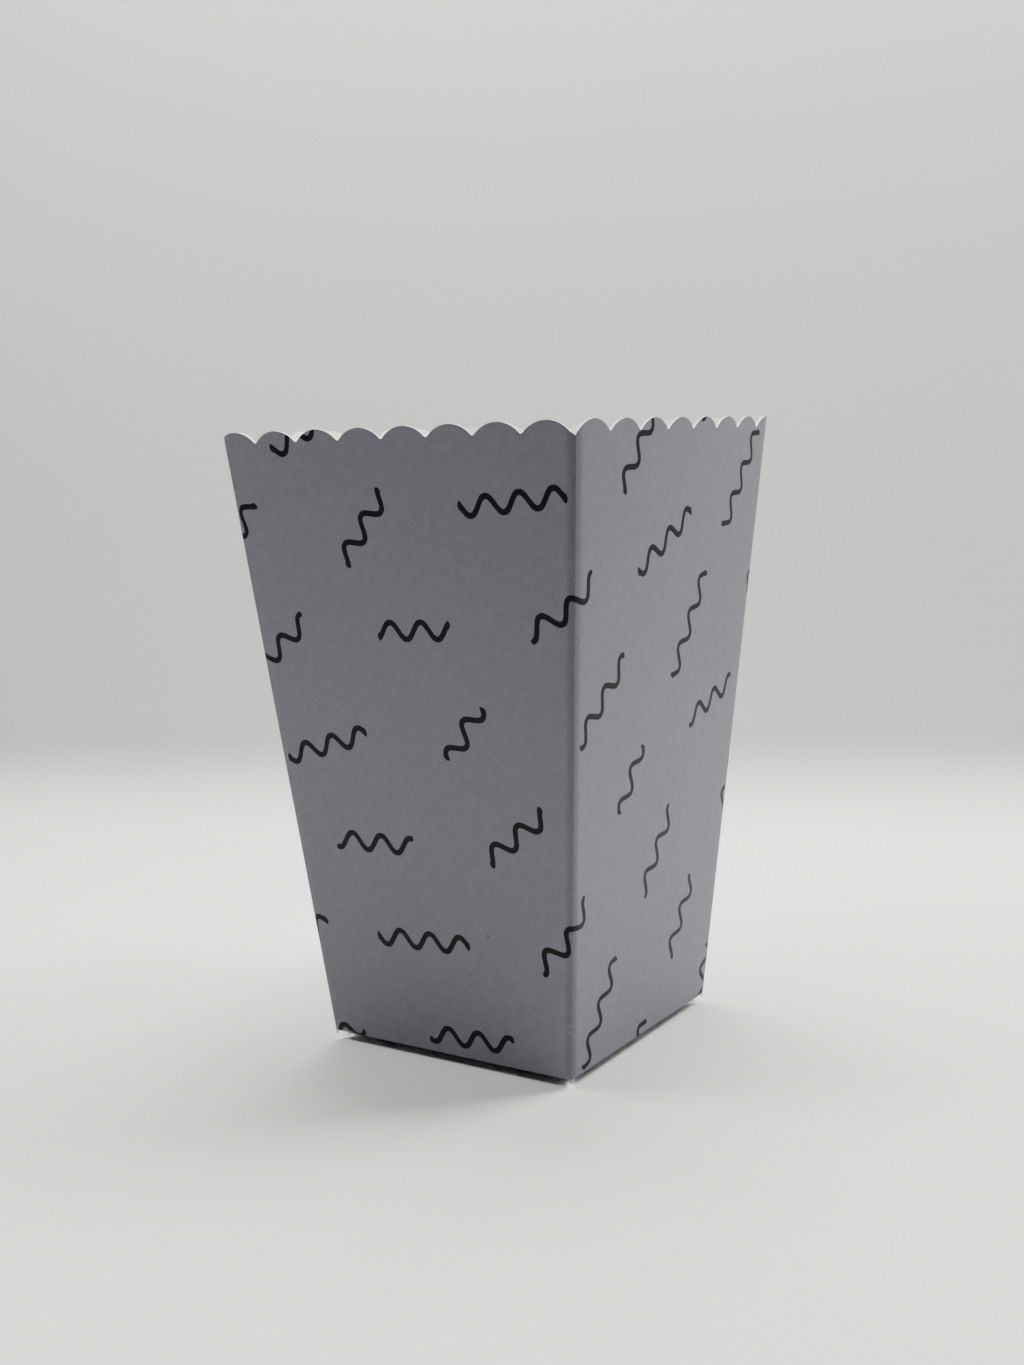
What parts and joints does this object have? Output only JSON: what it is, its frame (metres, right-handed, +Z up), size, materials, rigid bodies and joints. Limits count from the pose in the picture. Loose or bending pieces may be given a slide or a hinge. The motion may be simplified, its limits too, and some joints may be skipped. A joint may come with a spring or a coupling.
{
  "type": "popcorn box",
  "caption": "Open folding-carton popcorn box with a square plan, outward-leaning walls and a scalloped rim.",
  "frame": {"origin": "on the table, under the middle of the box", "axes": "+Z up through the open top, -Y out of the front wall, +X out of the right wall"},
  "size_m": [0.0938, 0.0876, 0.1398],
  "materials": {
    "card": "matt coated folding boxboard, printed grey outside with small black strokes, white inside and at cut edges"
  },
  "bodies": {
    "root": {"carton": "card"}
  },
  "joints": []
}
